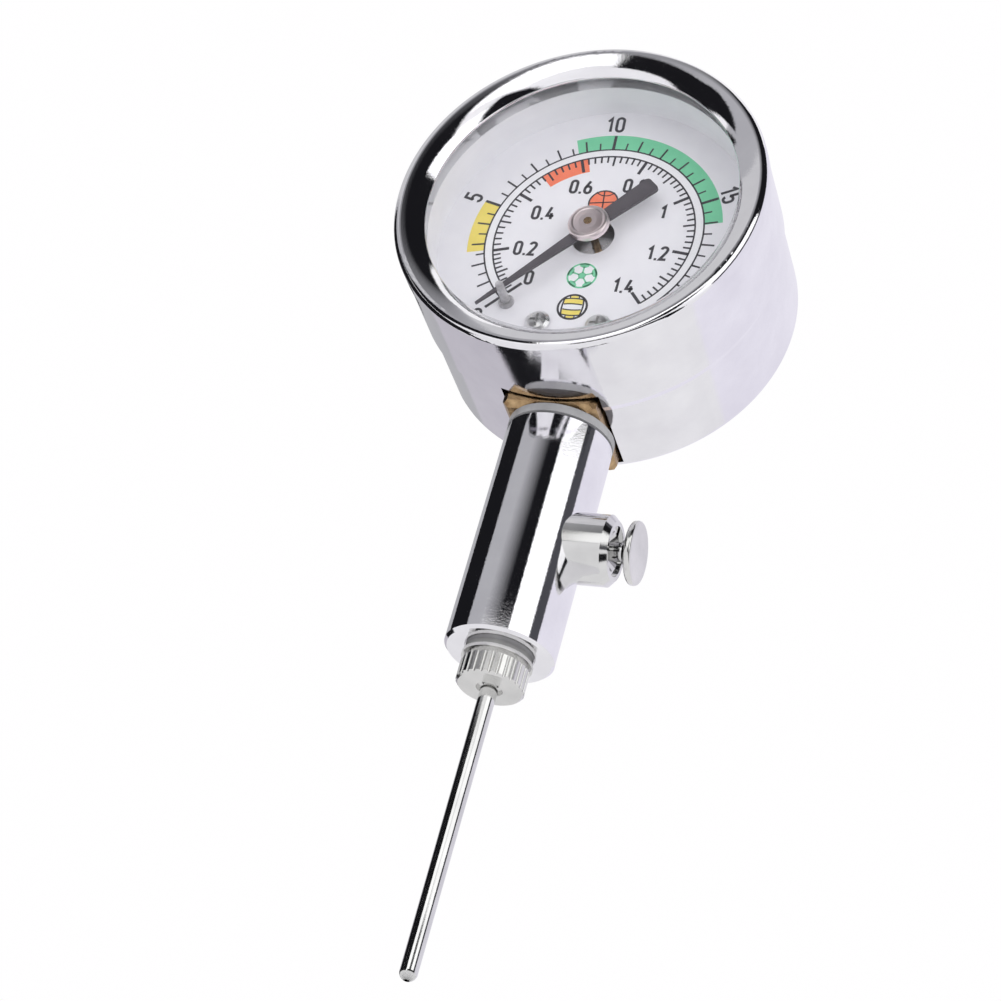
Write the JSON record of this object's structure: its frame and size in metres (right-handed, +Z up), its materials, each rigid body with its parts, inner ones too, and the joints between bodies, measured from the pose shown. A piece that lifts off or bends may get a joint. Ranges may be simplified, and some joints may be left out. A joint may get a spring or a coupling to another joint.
{
  "type": "ball pressure gauge",
  "caption": "Pocket pressure gauge for inflatable balls: round chromed dial head on a straight stem with a push-button bleed valve and a screw-in inflation needle.",
  "frame": {"origin": "on the stem's axis, at the lower face of the needle's fluted hub, where a ball's skin would sit", "axes": "+Z up the stem towards the dial head, -Y the way the dial faces, +X to the right as the dial is read, the side the bleed button is on"},
  "size_m": [0.0448, 0.025, 0.1152],
  "materials": {
    "chrome": "polished",
    "glass": "clear polished",
    "clear_plastic": "clear gloss",
    "white_plastic": "satin",
    "white_rubber": "matt",
    "dial_paint": "satin white",
    "pointer_paint": "satin dark grey",
    "satin_nickel": "satin",
    "steel": "brushed",
    "brass": "turned",
    "bronze": "drawn",
    "grey_rubber": "matt"
  },
  "bodies": {
    "gauge_body": {"case": "chrome", "bezel": "chrome", "lens": "glass", "lens_gasket": "white_rubber", "spacer_ring": "white_plastic", "case_screws": "steel", "dial_plate": "dial_paint", "dial_screws": "steel", "stop_pin": "clear_plastic", "hairspring": "bronze", "hairspring_stud": "brass", "front_plate": "satin_nickel", "rear_plate": "satin_nickel", "plate_pillars": "brass", "plate_screws": "steel", "mounting_screws": "steel", "bourdon_tube": "bronze", "socket_block": "brass", "passage_plug": "brass", "restrictor": "brass", "stem": "chrome", "stem_washer": "satin_nickel", "valve_housing": "chrome", "valve_gland": "steel", "valve_spring": "steel"},
    "pointer": {"pointer": "pointer_paint", "pointer_cap": "satin_nickel", "pointer_bush": "brass", "pinion_arbor": "brass", "hairspring_collet": "brass"},
    "sector": {"sector_gear": "brass", "sector_arbor": "steel", "sector_pin": "steel"},
    "link": {"link_bar": "steel"},
    "tube_end": {"tube_tip": "brass"},
    "button": {"valve_plunger": "steel", "valve_seal": "grey_rubber", "button_head": "steel"},
    "needle_seal": {"needle_washer": "grey_rubber"},
    "needle": {"needle_hub": "satin_nickel", "needle_tube": "satin_nickel"}
  },
  "joints": [
    {"name": "pointer_turn", "type": "hinge", "parent": "gauge_body", "child": "pointer", "pos_m": [0, -0.0076, 0.0577], "axis": [0, 1, 0], "range_deg": [0, 277], "stiffness_Nm_per_rad": 0.00002, "springref_deg": -28.65, "deforming": ["hairspring"]},
    {"name": "sector_turn", "type": "hinge", "parent": "gauge_body", "child": "sector", "pos_m": [0, -0.0036, 0.0481], "axis": [0, -1, 0], "range_deg": [0, 39.6]},
    {"name": "link_turn", "type": "hinge", "parent": "sector", "child": "link", "pos_m": [0.00137, -0.0029, 0.04926], "axis": [0, 1, 0], "range_deg": [0, 44.4]},
    {"name": "tube_flex", "type": "slide", "parent": "gauge_body", "child": "tube_end", "axis": [-0.5, 0, 0.866], "range_m": [0, 0.00201], "deforming": ["bourdon_tube"]},
    {"name": "button_press", "type": "slide", "parent": "gauge_body", "child": "button", "axis": [-1, 0, 0], "range_m": [0, 0.0015], "stiffness_N_per_m": 1200, "springref_m": -0.0012, "deforming": ["valve_spring"]},
    {"name": "needle_out", "type": "slide", "parent": "gauge_body", "child": "needle_seal", "axis": [0, 0, -1], "range_m": [0, 0.00571]},
    {"name": "needle_turn", "type": "hinge", "parent": "needle_seal", "child": "needle", "pos_m": [0, 0, 0], "axis": [0, 0, -1], "range_deg": [0, 2585.2]}
  ],
  "couplings": [
    {"joint": "sector_turn", "follows": "pointer_turn", "ratio": 0.14286},
    {"joint": "link_turn", "follows": "pointer_turn", "ratio": 0.16011},
    {"joint": "tube_flex", "follows": "pointer_turn", "m_per_rad": 0.00041369},
    {"joint": "needle_out", "follows": "needle_turn", "m_per_rad": 0.00012633}
  ]
}
